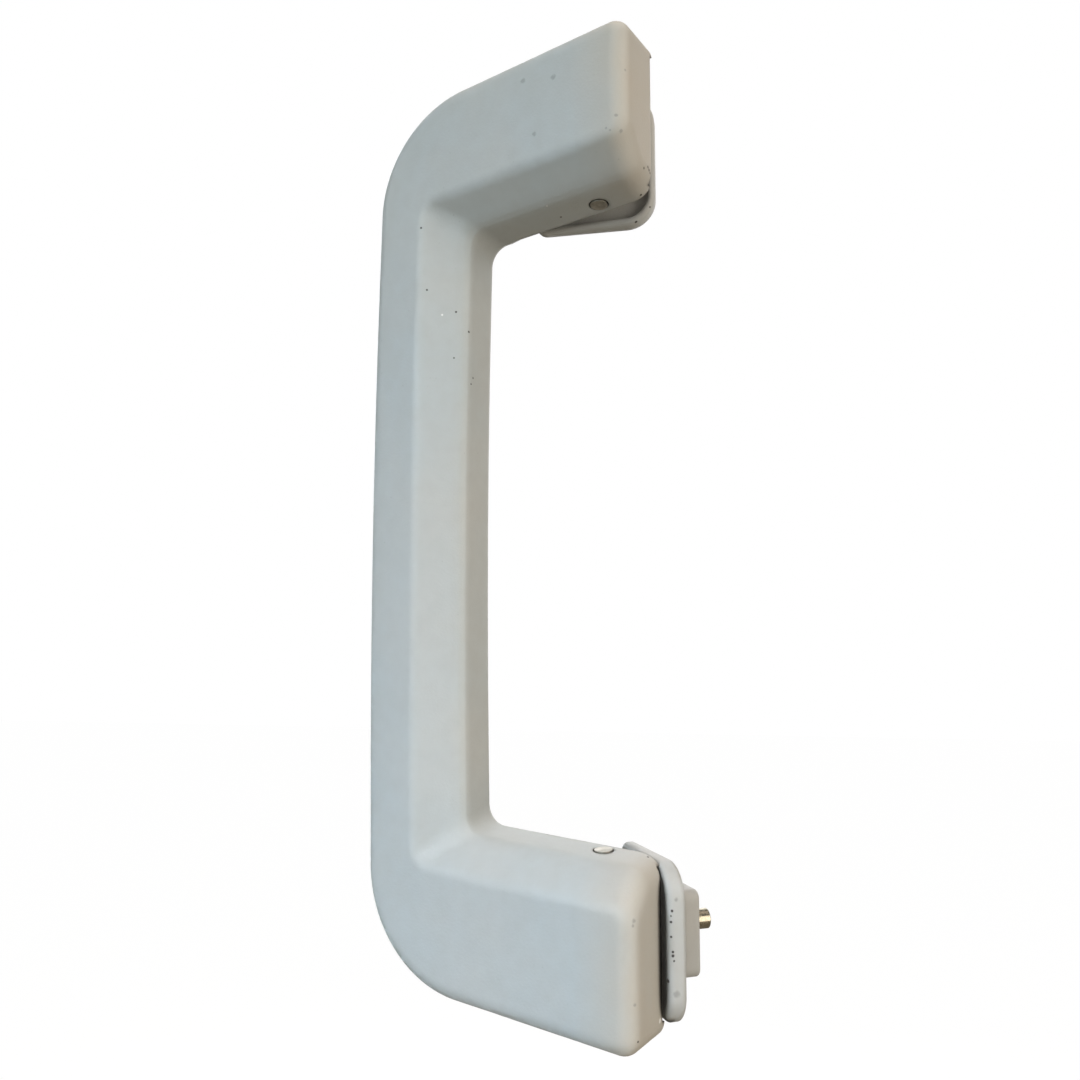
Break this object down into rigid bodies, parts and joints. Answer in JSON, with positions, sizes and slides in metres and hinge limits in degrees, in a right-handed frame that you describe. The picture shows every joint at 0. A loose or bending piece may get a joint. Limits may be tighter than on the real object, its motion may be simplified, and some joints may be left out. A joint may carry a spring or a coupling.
{
  "type": "roof grab handle",
  "caption": "Swing-down vehicle roof grab handle in light grey plastic, with a sprung upper base, a damped lower base and captive mounting screws.",
  "frame": {"origin": "on the upper screw's axis, in the plane where the upper boss meets the car body", "axes": "+Y along the upper screw, into the car body; +Z along the grip and the hinges, from the lower base to the upper; +X from the bar towards the hinges"},
  "size_m": [0.0791, 0.045, 0.2188],
  "materials": {
    "grip_plastic": "matte",
    "base_plastic": "matte",
    "pin_steel": "satin",
    "zinc_steel": "satin",
    "spring_steel": "satin",
    "damper_plastic": "satin",
    "seal_rubber": "matte"
  },
  "bodies": {
    "upper_base": {"upper_base": "base_plastic", "upper_sleeve": "zinc_steel", "upper_washer": "pin_steel", "return_spring": "spring_steel"},
    "grip": {"grip": "grip_plastic", "upper_inner_pin": "pin_steel", "lower_inner_pin": "pin_steel", "upper_outer_pin": "pin_steel", "damper_rotor": "damper_plastic"},
    "lower_base": {"lower_base": "base_plastic", "lower_sleeve": "zinc_steel", "lower_washer": "pin_steel", "damper_housing": "damper_plastic", "damper_lid": "damper_plastic", "damper_seal": "seal_rubber"},
    "upper_screw": {"upper_screw": "zinc_steel"},
    "lower_screw": {"lower_screw": "zinc_steel"}
  },
  "joints": [
    {"name": "upper_hinge", "type": "hinge", "parent": "upper_base", "child": "grip", "pos_m": [0.007, -0.0238, -0.0878], "axis": [0, 0, 1], "range_deg": [0, 70], "stiffness_Nm_per_rad": 0.08, "springref_deg": -68.75, "deforming": ["return_spring"]},
    {"name": "lower_hinge", "type": "hinge", "parent": "grip", "child": "lower_base", "pos_m": [0.007, -0.0238, -0.0878], "axis": [0, 0, 1], "range_deg": [-1, 60]},
    {"name": "upper_screw_slide", "type": "slide", "parent": "upper_base", "child": "upper_screw", "axis": [0, 1, 0], "range_m": [0, 0.008]},
    {"name": "lower_screw_slide", "type": "slide", "parent": "lower_base", "child": "lower_screw", "axis": [0.866, 0.5, 0], "range_m": [0, 0.008]}
  ]
}
